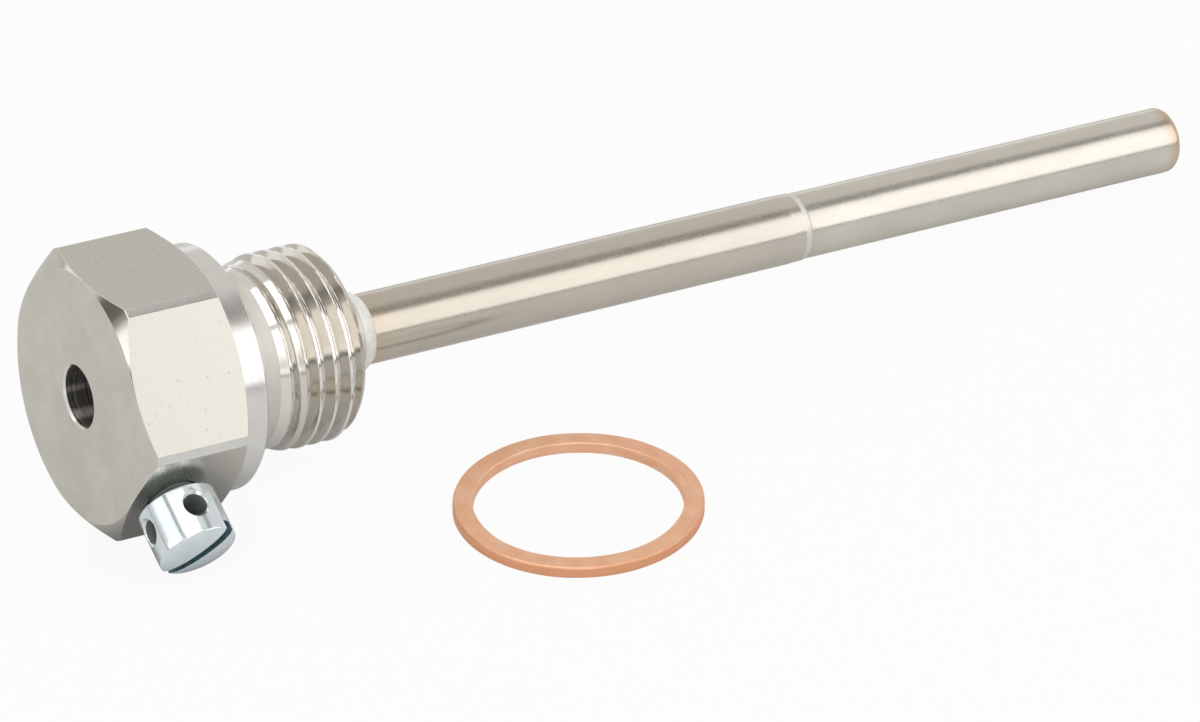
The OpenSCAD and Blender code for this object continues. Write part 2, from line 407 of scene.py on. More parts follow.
def thread_tree():
    """Sinks a right-hand helical groove with rounded crests and roots into a turned surface."""
    s = Shaper("Thread groove", [
        ("Crest Radius", "Float"), ("Depth", "Float"), ("Pitch", "Float"), ("Flank Slope", "Float"),
        ("Rounding", "Float"), ("Start Height", "Float"), ("End Height", "Float"), ("Start Angle", "Float"),
        ("Sink Turns", "Float"), ("Material", "Material")])
    x, y, z, angle, radius = s.round_place()
    crest, depth, pitch = s.given("Crest Radius"), s.given("Depth"), s.given("Pitch")

    # Distance of each point from the middle of the nearest turn of the groove
    part = s.calc("FRACT", s.calc("DIVIDE", s.calc("SUBTRACT", angle, s.given("Start Angle")), 2 * math.pi))
    height = s.calc("SUBTRACT", z, s.given("Start Height"))
    along = s.calc("SUBTRACT", s.calc("DIVIDE", height, pitch), part)
    groove = s.calc("MAXIMUM", s.calc("ROUND", along), 0.0)
    away = s.calc("MULTIPLY", s.calc("ABSOLUTE", s.calc("SUBTRACT", along, groove)), pitch)

    # Root and flanks, lifted where the groove starts to sink in
    sunk = s.calc("MINIMUM", s.calc("DIVIDE", s.calc("ADD", groove, part), s.given("Sink Turns")), 1.0)
    lift = s.calc("MULTIPLY", s.calc("SUBTRACT", 1.0, sunk), depth)
    root = s.calc("ADD", s.calc("SUBTRACT", crest, depth), lift)
    middle = s.calc("SUBTRACT", crest, s.calc("MULTIPLY", depth, 0.5))
    rise = s.calc("SUBTRACT", away, s.calc("MULTIPLY", pitch, 0.25))
    rise = s.calc("MULTIPLY", rise, s.given("Flank Slope"))
    flank = s.calc("ADD", s.calc("ADD", middle, rise), lift)
    cut = s.calc("SMOOTH_MAX", flank, root, s.given("Rounding"))
    cut = s.calc("SMOOTH_MIN", cut, crest, s.given("Rounding"))
    scale = s.calc("DIVIDE", s.calc("MINIMUM", radius, cut), radius)
    moved = s.node("ShaderNodeCombineXYZ")
    for value, socket in zip((s.calc("MULTIPLY", x, scale), s.calc("MULTIPLY", y, scale), z), moved.inputs):
        s.plug(value, socket)

    # Only the outer skin between the two heights moves
    above = s.calc("GREATER_THAN", z, s.calc("SUBTRACT", s.given("Start Height"), pitch))
    inside = s.calc("MULTIPLY", above, s.calc("LESS_THAN", z, s.given("End Height")))
    near = s.calc("GREATER_THAN", radius, s.calc("SUBTRACT", crest, s.calc("MULTIPLY", depth, 1.5)))
    place = s.node("SetPosition")
    s.plug(s.given("Geometry"), place.inputs["Geometry"])
    s.plug(s.calc("MULTIPLY", inside, near), place.inputs["Selection"])
    s.plug(moved.outputs[0], place.inputs["Position"])
    s.close(place.outputs[0])
    return s


def ripple_tree():
    """Raises the slanted, slightly uneven ripples of a weld bead on a turned surface."""
    s = Shaper("Weld ripples", [
        ("Ripple Count", "Float"), ("Ripple Height", "Float"), ("Slant", "Float"), ("Unevenness", "Float"),
        ("First Place", "Float"), ("Last Place", "Float"), ("Inner Radius", "Float"), ("Material", "Material")])
    x, y, z, angle, radius = s.round_place()
    first = s.given("First Place")
    span = s.calc("SUBTRACT", s.given("Last Place"), first)
    part = s.calc("DIVIDE", s.calc("SUBTRACT", z, first), span)
    hump = s.calc("MULTIPLY", part, s.calc("SUBTRACT", 1.0, part))
    fade = s.calc("MAXIMUM", s.calc("MULTIPLY", hump, 4.0), 0.0)
    turn = s.calc("MULTIPLY", angle, s.calc("MULTIPLY", s.given("Ripple Count"), 0.5))
    phase = s.calc("ADD", turn, s.calc("MULTIPLY", s.calc("MULTIPLY", part, part), s.given("Slant")))
    wave = s.calc("SUBTRACT", s.calc("ABSOLUTE", s.calc("SINE", phase)), 0.7)
    lumps = s.node("ShaderNodeTexNoise", noise_dimensions="3D")
    lumps.inputs["Scale"].default_value = 0.8
    lumps.inputs["Detail"].default_value = 2.0
    uneven = s.calc("MULTIPLY", s.calc("SUBTRACT", lumps.outputs[0], 0.5), s.given("Unevenness"))
    raised = s.calc("ADD", s.calc("MULTIPLY", wave, s.given("Ripple Height")), uneven)
    out = s.node("ShaderNodeVectorMath", operation="SCALE")
    s.plug(s.node("InputNormal").outputs[0], out.inputs[0])
    s.plug(s.calc("MULTIPLY", raised, fade), out.inputs["Scale"])
    place = s.node("SetPosition")
    s.plug(s.given("Geometry"), place.inputs["Geometry"])
    s.plug(s.calc("GREATER_THAN", radius, s.given("Inner Radius")), place.inputs["Selection"])
    s.plug(out.outputs[0], place.inputs["Offset"])
    s.close(place.outputs[0])
    return s


# ---------------------------------------------------------------- finishes

def fill_ramp(ramp, stops):
    """Puts the stops, each a place and a colour, on a colour ramp."""
    for element, (place, colour) in zip(ramp.elements, (stops[0], stops[-1])):
        element.position, element.color = place, (*colour, 1)
    for place, colour in stops[1:-1]:
        ramp.elements.new(place).color = (*colour, 1)


class Finish:
    """A small helper that writes a metal's material. Patterns read millimetres in the part's own directions."""

    def __init__(self, name, colour, roughness, metallic=1.0, place=LYING):
        self.material = bpy.data.materials.new(name)
        self.material.use_nodes = True
        self.tree = self.material.node_tree
        self.shader = self.tree.nodes["Principled BSDF"]
        self.shader.inputs["Base Color"].default_value = (*colour, 1)
        self.shader.inputs["Roughness"].default_value = roughness
        self.shader.inputs["Metallic"].default_value = metallic
        self.material.diffuse_color = (*colour, 1)
        mapping = self.node("Mapping", vector_type="TEXTURE")
        self.plug(self.node("TexCoord").outputs["Object"], mapping.inputs["Vector"])
        mapping.inputs["Location"].default_value = place.translation * MM
        mapping.inputs["Rotation"].default_value = place.to_euler("XYZ")
        mapping.inputs["Scale"].default_value = (MM, MM, MM)
        self.at = mapping.outputs[0]
        self.x, self.y, self.z = self.node("SeparateXYZ", self.at).outputs

    def node(self, kind, *values, **settings):
        return wired(self.tree, kind, *values, **settings)

    def plug(self, value, socket):
        plug(self.tree, value, socket)

    def calc(self, operation, *values):
        return self.node("Math", *values, operation=operation).outputs[0]

    def combine(self, x, y, z):
        return self.node("CombineXYZ", x, y, z).outputs[0]

    def stretched(self, *scaled):
        """Place for a pattern: up to three values, each with its own scale."""
        return self.node("CombineXYZ", *(self.calc("MULTIPLY", value, scale) for value, scale in scaled)).outputs[0]

    def radius(self):
        x, y = self.x, self.y
        return self.calc("SQRT", self.calc("ADD", self.calc("MULTIPLY", x, x), self.calc("MULTIPLY", y, y)))

    def angle(self):
        return self.calc("ARCTAN2", self.y, self.x)

    def grain(self, scale, detail=3.0, roughness=0.6, at=None, stretch=None):
        """Noise from 0 to 1; stretch gives its scale along each direction."""
        vector = at or self.at
        if stretch:
            vector = self.node("VectorMath", vector, stretch, operation="MULTIPLY").outputs[0]
        made = self.node("TexNoise", noise_dimensions="3D")
        self.plug(vector, made.inputs["Vector"])
        made.inputs["Scale"].default_value = scale
        made.inputs["Detail"].default_value = detail
        made.inputs["Roughness"].default_value = roughness
        return made.outputs[0]

    def range(self, value, low, high, to_low, to_high, smooth=False):
        """Takes a value from one range to another and holds it inside."""
        made = self.node("MapRange", clamp=True, interpolation_type="SMOOTHSTEP" if smooth else "LINEAR")
        for given, socket in zip((value, low, high, to_low, to_high), made.inputs):
            self.plug(given, socket)
        return made.outputs[0]

    def mix(self, factor, a, b):
        """Mixes two colours, each a socket or red, green and blue."""
        made = self.node("Mix", data_type="RGBA")
        self.plug(factor, made.inputs["Factor"])
        for colour, socket in ((a, made.inputs["A"]), (b, made.inputs["B"])):
            self.plug(colour if isinstance(colour, bpy.types.NodeSocket) else (*colour, 1), socket)
        return made.outputs["Result"]

    def colour(self, value):
        self.plug(value, self.shader.inputs["Base Color"])

    def rough(self, value):
        self.plug(value, self.shader.inputs["Roughness"])

    def bump(self, height, depth, strength=1.0, under=None):
        """Relief that is depth millimetres high, over the relief given as under."""
        made = self.node("Bump")
        made.inputs["Strength"].default_value = strength
        made.inputs["Distance"].default_value = depth * MM
        self.plug(height, made.inputs["Height"])
        if under:
            self.plug(under, made.inputs["Normal"])
        return made.outputs[0]

    def relief(self, value):
        self.plug(value, self.shader.inputs["Normal"])

    def brushed(self, amount):
        """Stretches the gloss across tool marks that run round the axis."""
        round_axis = self.node("VectorMath", (0, 0, 1), self.at, operation="CROSS_PRODUCT").outputs[0]
        laid = self.node("VectorRotate", rotation_type="EULER_XYZ")
        self.plug(round_axis, laid.inputs["Vector"])
        laid.inputs["Rotation"].default_value = LYING.to_euler("XYZ")
        self.plug(laid.outputs[0], self.shader.inputs["Tangent"])
        self.plug(amount, self.shader.inputs["Anisotropic"])


def end_face_steel():
    """Faced end of the hexagon: fine rings round the bore and a faint warm cloud beside it."""
    f = Finish("end_face_steel", (0.70, 0.67, 0.61), 0.25)
    grey, pale, warm_grey = (0.70, 0.675, 0.615), (0.77, 0.75, 0.69), (0.70, 0.62, 0.59)
    face_edge = (HEX_FACE_R - 0.05, HEX_FACE_R + 0.1)
    r = f.radius()
    rings = f.grain(1.0, 4.0, 0.7, at=f.stretched((r, 14.0), (f.angle(), 0.3)))
    by_bore = f.range(r, 3.3, 9.5, 1.0, 0.0, smooth=True)
    warm = f.calc("MULTIPLY", by_bore, f.range(f.grain(0.17, 3.0, 0.55), 0.42, 0.62, 0.0, 1.0))
    base = f.mix(f.range(f.grain(0.3, 4.0), *NARROW, 0.0, 1.0), grey, pale)
    f.colour(f.mix(f.calc("MULTIPLY", warm, 0.6), base, warm_grey))
    f.rough(f.calc("MULTIPLY", f.range(rings, *WIDE, 0.16, 0.28), f.range(r, *face_edge, 1.0, 0.4)))
    f.relief(f.bump(rings, 0.004, 0.35, under=f.bump(f.grain(6.0, 2.0), 0.004, 0.3)))
    f.brushed(f.range(r, *face_edge, 0.55, 0.0))
    return f.material


def milled_steel():
    """Flats of the hexagon: pale satin with fine dark specks."""
    f = Finish("milled_steel", (0.67, 0.645, 0.605), 0.26)
    grey, pale, dark = (0.66, 0.64, 0.588), (0.717, 0.697, 0.645), (0.34, 0.30, 0.26)
    fine = f.grain(3.4, 3.0, 0.7)
    base = f.mix(f.range(fine, *NARROW, 0.0, 1.0), grey, pale)
    f.colour(f.mix(f.range(f.grain(2.1, 2.0, 0.5), 0.69, 0.76, 0.0, 0.55), base, dark))
    f.rough(f.range(fine, *WIDE, 0.2, 0.32))
    f.relief(f.bump(fine, 0.006, 0.3))
    return f.material


def polished_steel():
    """Turned and polished collar, chamfers and corners."""
    f = Finish("polished_steel", (0.82, 0.81, 0.785), 0.22)
    grey, pale = (0.82, 0.81, 0.785), (0.88, 0.87, 0.845)
    marks = f.grain(1.0, 4.0, 0.7, at=f.stretched((f.z, 9.0), (f.radius(), 9.0), (f.angle(), 0.5)))
    f.colour(f.mix(f.range(f.grain(0.6, 3.0), *WIDE, 0.0, 1.0), grey, pale))
    f.rough(f.range(marks, *WIDE, 0.15, 0.25))
    f.relief(f.bump(marks, 0.003, 0.3))
    f.brushed(0.3)
    return f.material


def matte_steel():
    """Undercut neck and faces behind the collar, left dull by the tool."""
    f = Finish("matte_steel", (0.74, 0.72, 0.68), 0.5)
    grey, pale = (0.70, 0.68, 0.645), (0.78, 0.76, 0.72)
    marks = f.grain(1.0, 3.0, 0.7, at=f.stretched((f.z, 11.0), (f.radius(), 11.0), (f.angle(), 0.4)))
    f.colour(f.mix(f.range(f.grain(0.5, 3.0), *WIDE, 0.0, 1.0), grey, pale))
    f.rough(f.range(marks, *WIDE, 0.44, 0.6))
    f.relief(f.bump(marks, 0.006, 0.4))
    return f.material


def thread_steel():
    """Cut thread: greyer flanks with fine marks that follow the groove, and pale crests that are partly the cut
    metal's own tone and partly a painted highlight.
    """
    f = Finish("thread_steel", (0.74, 0.71, 0.66), 0.17)
    grey, dull, pale = (0.74, 0.71, 0.655), (0.68, 0.645, 0.59), (0.96, 0.945, 0.91)
    r, angle = f.radius(), f.angle()
    along = f.calc("SUBTRACT", f.z, f.calc("MULTIPLY", angle, PITCH / (2 * math.pi)))
    marks = f.grain(1.0, 4.0, 0.7, at=f.stretched((along, 13.0), (r, 9.0), (angle, 0.6)))
    flank = f.mix(f.range(f.grain(0.8, 3.0), 0.35, 0.7, 0.0, 0.5), grey, dull)
    # Pale crests and cone: partly the cut metal's own tone, partly a painted highlight; the paleness dips between
    # 4.9 and 6.8 mm as a painted dark reflection on the first crests
    uncut = f.range(f.z, NECK_END, CONE_END, NECK_R, THREAD_R)
    crest = f.range(f.calc("SUBTRACT", r, uncut), -0.12, -0.03, 0.0, 1.0)
    cone, full = f.range(f.z, 4.9, 5.6, 0.7, 0.25), f.range(f.z, 6.2, 6.8, 0.3, 1.0)
    f.colour(f.mix(f.calc("MULTIPLY", crest, f.calc("MAXIMUM", cone, full)), flank, pale))
    f.rough(f.range(marks, *WIDE, 0.07, 0.16))
    f.relief(f.bump(marks, 0.005, 0.25))
    return f.material


def bore_steel():
    """Drilled bore and the clamping screw's hole: dark as painted shade in the recess, with light drill rings and
    two less metallic streaks.
    """
    f = Finish("bore_steel", (0.45, 0.43, 0.40), 0.26)
    dark, grey = (0.30, 0.285, 0.265), (0.60, 0.58, 0.55)
    streaks = ((-105, 0.03, 0.14, 0.55), (-155, 0.1, 0.26, 0.75))
    angle = f.angle()
    rings = f.grain(1.0, 3.0, 0.7, at=f.stretched((f.z, 3.0), (0.0, 0.0), (angle, 0.3)))
    # Painted shade: these colours are darker than the same steel outside the bore
    f.colour(f.mix(f.range(rings, 0.4, 0.68, 0.0, 1.0), dark, grey))
    # Two streaks where the steel is less metallic
    streak_strength = f.calc("MAXIMUM", *(
        f.range(f.calc("ABSOLUTE", f.calc("SUBTRACT", angle, math.radians(middle))), core, edge, amount, 0.0)
        for middle, core, edge, amount in streaks))
    streak_strength = f.calc("MULTIPLY", streak_strength, f.range(f.grain(0.6, 3.0), 0.3, 0.6, 0.5, 1.0))
    f.plug(f.calc("SUBTRACT", 0.9, streak_strength), f.shader.inputs["Metallic"])
    f.rough(f.range(rings, *WIDE, 0.22, 0.4))
    f.relief(f.bump(rings, 0.01, 0.5))
    return f.material


def tube_steel():
    """Drawn tubes: fine lengthwise satin, straw tint beside the weld and tan on the tip's rim."""
    f = Finish("tube_steel", (0.62, 0.57, 0.49), 0.17)
    grey, straw, tan, pale = (0.52, 0.49, 0.44), (0.66, 0.55, 0.41), (0.66, 0.46, 0.27), (0.88, 0.86, 0.82)
    lengthwise = ((0.0, (0.675, 0.61, 0.515)), (0.1, (0.68, 0.625, 0.545)), (0.5, (0.715, 0.67, 0.60)),
                  (0.56, (0.79, 0.75, 0.68)), (1.0, (0.81, 0.77, 0.705)))
    lines = f.grain(1.0, 3.0, 0.7, at=f.stretched((f.angle(), 26.0), (f.z, 0.35)))
    specks = f.grain(5.0, 2.0, 0.6)
    clouds = f.grain(0.35, 4.0, 0.6, stretch=(1.0, 1.0, 0.4))
    along = f.node("ValToRGB")
    f.plug(f.range(f.z, NOSE_END, TIP_END, 0.0, 1.0), along.inputs[0])
    fill_ramp(along.color_ramp, lengthwise)
    base = f.mix(f.range(clouds, *NARROW, 0.0, 0.22), along.outputs[0], grey)
    wobble = f.calc("MULTIPLY", f.calc("SUBTRACT", clouds, 0.5), 3.0)
    near_weld = f.range(f.calc("ADD", f.z, wobble), WELD_END - 0.2, WELD_END + 2.4, 1.0, 0.0, smooth=True)
    base = f.mix(f.calc("MULTIPLY", near_weld, 0.5), base, straw)
    # A pale, rougher crimp band at the joint: worked metal, and partly a painted highlight where the joint catches
    # light
    crimp_and_highlight = f.range(f.calc("ABSOLUTE", f.calc("SUBTRACT", f.z, DRAW_END + 0.1)), 0.25, 0.4, 1.0, 0.0)
    base = f.mix(f.calc("MULTIPLY", crimp_and_highlight, 0.8), base, pale)
    near_rim = f.calc("ADD", f.z, f.calc("MULTIPLY", wobble, 0.3))
    rim = f.range(near_rim, TIP_END - 2.3, TIP_END - 0.5, 0.0, 1.0, smooth=True)
    f.colour(f.mix(f.calc("MULTIPLY", rim, 0.65), base, tan))
    rough = f.calc("ADD", f.range(specks, *WIDE, 0.15, 0.24), f.range(lines, *WIDE, 0.0, 0.06))
    f.rough(f.calc("ADD", rough, f.calc("MULTIPLY", crimp_and_highlight, 0.2)))
    f.relief(f.bump(lines, 0.003, 0.3, under=f.bump(specks, 0.004, 0.25)))
    return f.material


def weld_metal():
    """Weld bead: pale, dull and slightly mottled, with a straw toe."""
    f = Finish("weld_metal", (0.90, 0.89, 0.86), 0.5, metallic=0.35)
    grey, pale, straw = (0.86, 0.85, 0.82), (0.95, 0.94, 0.91), (0.86, 0.76, 0.56)
    mottle = f.grain(1.4, 4.0, 0.6)
    base = f.mix(f.range(mottle, *NARROW, 0.0, 1.0), grey, pale)
    f.colour(f.mix(f.range(f.z, WELD_END - 0.4, WELD_END, 0.0, 0.35, smooth=True), base, straw))
    f.rough(f.range(mottle, *WIDE, 0.4, 0.5))
    f.relief(f.bump(mottle, 0.012, 0.3))
    return f.material


def zinc_plate():
    """Bright bluish zinc plating on the clamping screw, yellowish in places."""
    f = Finish("zinc_plate", (0.80, 0.88, 0.93), 0.15, metallic=0.8, place=ON_SCREW)
    blue, pale, yellow = (0.79, 0.88, 0.93), (0.87, 0.94, 0.975), (0.86, 0.82, 0.66)
    fine = f.grain(6.0, 2.0, 0.6)
    base = f.mix(f.range(f.grain(0.5, 4.0, 0.6), *NARROW, 0.0, 1.0), blue, pale)
    patches = f.grain(0.9, 3.0, 0.6, at=f.combine(f.z, f.x, f.y))
    f.colour(f.mix(f.range(patches, 0.6, 0.75, 0.0, 0.35), base, yellow))
    f.rough(f.range(fine, *WIDE, 0.1, 0.2))
    f.relief(f.bump(fine, 0.003, 0.3))
    return f.material


def zinc_shadow():
    """Inside the screw's slot and cross holes and on its shank: a dark finish that paints the shade there."""
    f = Finish("zinc_shadow", (0.15, 0.19, 0.19), 0.35, metallic=0.2, place=ON_SCREW)
    in_holes, in_slot, scraped = (0.26, 0.30, 0.275), (0.05, 0.14, 0.175), (0.24, 0.30, 0.30)
    marks = f.grain(2.5, 3.0, 0.6)
    # Painted shade: grey in the holes, a darker teal towards the slot
    hollow = f.mix(f.range(f.z, HOLE_H + HOLE_R, SLOT_FLOOR, 0.0, 1.0), in_holes, in_slot)
    f.colour(f.mix(f.range(marks, 0.35, 0.7, 0.0, 0.4), hollow, scraped))
    f.rough(f.range(marks, *WIDE, 0.25, 0.42))
    f.relief(f.bump(marks, 0.01, 0.4))
    return f.material


def ring_centre():
    """Middle of the sealing ring's box, in metres."""
    low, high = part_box("sealing_ring")
    return Vector([(a + b) / 2 for a, b in zip(low, high)])


def copper():
    """Soft copper: satin, with scuffs round the ring and duller, darker edges."""
    f = Finish("copper", (0.93, 0.55, 0.36), 0.4, metallic=0.75, place=Matrix.Translation(ring_centre() / MM))
    red, pale, edge, worn = (0.95, 0.53, 0.33), (1.0, 0.63, 0.43), (0.86, 0.41, 0.22), (0.70, 0.36, 0.21)
    r = f.radius()
    turns = f.grain(1.0, 4.0, 0.7, at=f.stretched((r, 7.0), (f.angle(), 1.2), (f.z, 4.0)))
    base = f.mix(f.range(f.grain(0.45, 4.0, 0.6), *NARROW, 0.0, 1.0), red, pale)
    base = f.mix(f.range(r, RING_R - 0.25, RING_R - 0.02, 0.0, 0.8, smooth=True), base, edge)
    f.colour(f.mix(f.range(turns, 0.55, 0.7, 0.0, 0.5), base, worn))
    f.rough(f.range(turns, *WIDE, 0.3, 0.48))
    f.relief(f.bump(turns, 0.02, 0.4, under=f.bump(f.grain(2.2, 3.0, 0.6), 0.02, 0.3)))
    return f.material


# ---------------------------------------------------------------- pieces

def hex_angles():
    """Angles round the hexagon, close together where a flat meets a turned corner."""
    meet = math.degrees(math.acos(HEX_R / HEX_CORNER_R))
    half = [0, 4, 8, 12, 15.5, 18.5, 21, 23.3, 25.2, 26.7]
    half += [meet + d for d in (-0.5, -0.2, -0.12, -0.04, 0.04, 0.12, 0.2, 0.5)] + [29.2]
    angles = []
    for k in range(6):
        angles += [60 * k + a for a in half] + [60 * k + 60 - a for a in reversed(half[1:])]
    return [math.radians(a) for a in sorted(set(round(a, 4) for a in angles))]


def off_flat(angle):
    """Angle from the middle of the hexagon's nearest flat."""
    return (angle + math.pi / 6) % (math.pi / 3) - math.pi / 6


def hex_radius(angle):
    """Distance from the axis to the hexagon's side, softened where a flat meets a turned corner."""
    flat, blend = HEX_R / math.cos(off_flat(angle)), 0.028
    h = max(blend - abs(flat - HEX_CORNER_R), 0) / blend
    return min(flat, HEX_CORNER_R) - h * h * blend / 4


def hexagon_profile(angle):
    """From the front face over the hexagon's side to its back face, at one angle."""
    r = hex_radius(angle)
    rise = (r - HEX_FACE_R) * HEX_SLOPE
    return soft([
        (FRONT_SEAM[1], HEX_FRONT, 0),
        (HEX_FACE_R, HEX_FRONT, 0.12),
        (r, HEX_FRONT + rise, 0.10),
        (r, HEX_BACK - rise, 0.10),
        (HEX_FACE_R, HEX_BACK, 0.12),
        (BACK_SEAM[1], HEX_BACK, 0),
    ])


def round_profile():
    """From the back of the hexagon over the collar, thread and nose, and back through the bore."""
    outside = soft([
        (BACK_SEAM[0], HEX_BACK, 0),
        (COLLAR_R, HEX_BACK, 0),
        (COLLAR_R, -COLLAR_BEVEL, 0.12),
        (COLLAR_R - COLLAR_BEVEL, 0.0, 0.12),
        (NECK_R, 0.0, 0.7),
        (NECK_R, NECK_END, 0),
    ], steps=5)
    bevel_z = THREAD_END - THREAD_BEVEL
    cone_slope = (THREAD_R - NECK_R) / (CONE_END - NECK_END)
    thread = [(NECK_R + cone_slope * (z - NECK_END), z) for z in spread(NECK_END, CONE_END, 62)[1:]]
    thread += [(THREAD_R, z) for z in spread(CONE_END, bevel_z, 160)[1:]]
    thread += [(THREAD_R - (z - bevel_z), z) for z in spread(bevel_z, THREAD_END - 0.02, 18)[1:]]
    inside = soft([
        (THREAD_R - THREAD_BEVEL - 0.02, THREAD_END, 0),
        (NOSE_R, THREAD_END, 0.3),
        (NOSE_R, NOSE_END, 0.05),
        (SEAT_R, NOSE_END, 0),
        (SEAT_R, SEAT, 0),
        (BORE_R, SEAT, 0),
        (BORE_R, HEX_FRONT + 0.25, 0.06),
        (BORE_R + 0.17, HEX_FRONT, 0.05),
        (FRONT_SEAM[0], HEX_FRONT, 0),
    ])
    return outside + thread + inside


def screw_hole_cutter():
    """Hole for the clamping screw, with a small countersink in the flat."""
    inner_end, outer_end, mouth_r = 0.5, 16.0, 2.95
    cutter = turned("screw_hole", [
        (0, inner_end), (SCREW_HOLE_R, inner_end), (SCREW_HOLE_R, HEX_R - 0.25),
        (mouth_r, HEX_R + 0.15), (mouth_r, outer_end), (0, outer_end)], 64, closed=False)
    cutter.data.transform(SCREW_IN_BODY)
    return cutter


def body_region(centre, normal):
    """Which of the body's finishes a face has."""
    r = math.hypot(centre.x, centre.y)
    out = (normal.x * centre.x + normal.y * centre.y) / max(r, 1e-6)
    at_screw = SCREW_IN_BODY.inverted() @ centre
    along_screw = abs((SCREW_IN_BODY.to_3x3().inverted() @ normal).z)
    on_mouth = r < 5 and -0.95 < normal.z < -0.2 and centre.z < HEX_FRONT + 0.3
    in_bore = r < 5 and out < -0.5 and centre.z < NOSE_END - 0.1
    in_screw_hole = math.hypot(at_screw.x, at_screw.y) < 3 and at_screw.z > 0 and r > 3.3 and along_screw < 0.9
    if on_mouth:
        return POLISHED
    if in_bore or in_screw_hole:
        return BORE
    if centre.z < HEX_BACK + 0.03:
        if normal.z < -0.6:
            return END_FACE
        from_axis = r * math.cos(off_flat(math.atan2(centre.y, centre.x)))
        return MILLED if abs(from_axis - HEX_R) < 0.012 and abs(normal.z) < 0.05 else POLISHED
    if centre.z < -0.1:
        return POLISHED
    return MATTE if centre.z < NECK_END or centre.z > THREAD_END else THREAD


def head_body(finishes, thread):
    """Hexagon, collar, neck, thread and nose in one piece, with the bore and the screw's hole."""
    bm = bmesh.new()
    profile = round_profile()
    hexagon = add_rows(bm, hex_angles(), hexagon_profile)
    rest = add_rows(bm, even_turn(192), lambda a: profile)
    join_rings(bm, hexagon[-1], rest[0])
    join_rings(bm, rest[-1], hexagon[0])
    body = finished_mesh("head_body", bm)
    thread.apply(body, Crest_Radius=THREAD_R, Depth=THREAD_DEPTH, Pitch=PITCH,
                 Flank_Slope=1 / math.tan(math.radians(THREAD_FLANK)), Rounding=0.08,
                 Start_Height=THREAD_START, End_Height=THREAD_END - 0.005,
                 Start_Angle=math.radians(THREAD_TURN), Sink_Turns=THREAD_SINK, Material=finishes[THREAD])
    cut_away(body, [screw_hole_cutter()])
    paint(body, finishes, body_region)
    hand_over(body, LYING, "pocket", "pocket_body")


def stem_tube(finish):
    """Thicker tube of the stem, drawn in and crimped on the tip tube."""
    tube = turned("stem_tube_skin", soft([
        (BORE_R, STEM_END - 0.1, 0),
        (BORE_R, SEAT + 0.1, 0.1),
        (BORE_R + 0.1, SEAT, 0),
        (STEM_R, SEAT, 0.1),
        (STEM_R, 20.0, 0),
        (STEM_R, DRAW_START, 3.0),
        (DRAW_R, DRAW_END, 0.1),
        (DRAW_R + 0.03, DRAW_END + 0.12, 0.06),
        (DRAW_R + 0.02, DRAW_END + 0.3, 0.06),
        (TIP_R, STEM_END, 0),
        (BORE_R + 0.1, STEM_END, 0.05),
    ]))
    paint(tube, [finish])
    hand_over(tube, LYING, "pocket", "stem_tube")


def tip_tube(finish):
    """Thinner tube of the stem."""
    tube = turned("tip_tube_skin", [
        (TIP_BORE_R, PLUG_FRONT),
        (TIP_BORE_R, STEM_END),
        (TIP_R, STEM_END),
        (TIP_R, 90.0),
        (TIP_R, PLUG_FRONT),
    ])
    paint(tube, [finish])
    hand_over(tube, LYING, "pocket", "tip_tube")


def tip_plug(finish):
    """Plug that closes the tip, with a rounded rim and a shallow dish in its end."""
    rim = [(TIP_R - TIP_ROUND + TIP_ROUND * math.cos(a), TIP_END - TIP_ROUND + TIP_ROUND * math.sin(a), 0)
           for a in spread(0, math.pi / 2, 12)]
    plug = turned("tip_plug_skin", soft([
        (0, PLUG_FRONT - SPIGOT_LENGTH, 0),
        (TIP_BORE_R - 0.02, PLUG_FRONT - SPIGOT_LENGTH, 0.15),
        (TIP_BORE_R - 0.02, PLUG_FRONT, 0),
        (TIP_R, PLUG_FRONT, 0),
        *rim,
        (2.35, TIP_END, 0.1),
        (2.2, TIP_END - 0.06, 0.06),
        (2.0, TIP_END - 0.02, 0.1),
        (0, TIP_END - 0.02, 0),
    ], steps=6), closed=False)
    paint(plug, [finish])
    hand_over(plug, LYING, "pocket", "end_plug")


def weld_ring(finish, ripples):
    """Bead that welds the stem tube to the nose, slightly bulged and rippled."""
    toe_r = STEM_R + 0.02
    rows = [(STEM_R, WELD_END), (STEM_R, NOSE_END), (NOSE_R, NOSE_END)]
    for t in spread(0, 1, 14)[1:]:
        bulge = 0.12 * math.sin(math.pi * t)
        rows.append((NOSE_R + (toe_r - NOSE_R) * t + bulge, NOSE_END + (WELD_END - NOSE_END) * t))
    bead = turned("weld_ring", rows, 240)
    ripples.apply(bead, Ripple_Count=44.0, Ripple_Height=0.035, Slant=3.0, Unevenness=0.16,
                  First_Place=NOSE_END, Last_Place=WELD_END, Inner_Radius=STEM_R + 0.03, Material=finish)
    hand_over(bead, LYING, "pocket", "weld_bead", crease=60)


def cap_outline():
    """Half outline of the screw's head from the middle of its wall to the middle of its end."""
    points = [(CAP_R, SLOT_FLOOR - 0.3), (CAP_R, SLOT_FLOOR)]
    for a in (0, 3, 7, 12, 18, 26, 35, 45, 55, 65, 74, 82, 90):
        a = math.radians(a)
        points.append((CAP_R * math.cos(a), CAP_EDGE + CAP_DOME * math.sin(a)))
    return points


